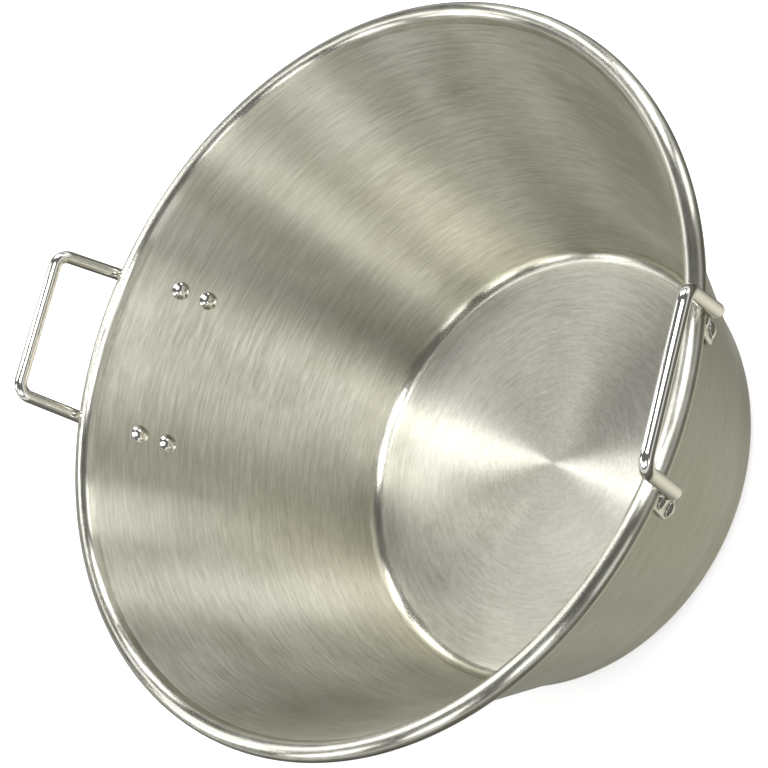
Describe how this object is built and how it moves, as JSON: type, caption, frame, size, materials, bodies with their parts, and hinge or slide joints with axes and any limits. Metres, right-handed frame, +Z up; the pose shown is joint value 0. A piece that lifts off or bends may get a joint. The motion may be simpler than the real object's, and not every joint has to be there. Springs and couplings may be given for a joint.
{
  "type": "brew kettle",
  "caption": "Wide tapered stainless kettle with a flat base, a rolled rim round a wire and bent-rod handles riveted to the wall, for heating wort or other liquids.",
  "frame": {"origin": "middle of the flat base, on the underside", "axes": "+Z up along the kettle's axis, +X through the middle of the right handle, +Y to the back"},
  "size_m": [0.4872, 0.4566, 0.2475],
  "materials": {
    "brushed_steel": "satin stainless steel, brushed in circles round the axis",
    "wire_steel": "plain drawn stainless wire",
    "polished_steel": "polished stainless steel rod",
    "rivet_steel": "polished stainless steel"
  },
  "bodies": {
    "root": {"kettle_body": "brushed_steel", "rim_wire": "wire_steel", "handle_right": "polished_steel", "handle_left": "polished_steel", "rivet_right_front_upper": "rivet_steel", "rivet_right_front_lower": "rivet_steel", "rivet_right_back_upper": "rivet_steel", "rivet_right_back_lower": "rivet_steel", "rivet_left_front_upper": "rivet_steel", "rivet_left_front_lower": "rivet_steel", "rivet_left_back_upper": "rivet_steel", "rivet_left_back_lower": "rivet_steel"}
  },
  "joints": []
}
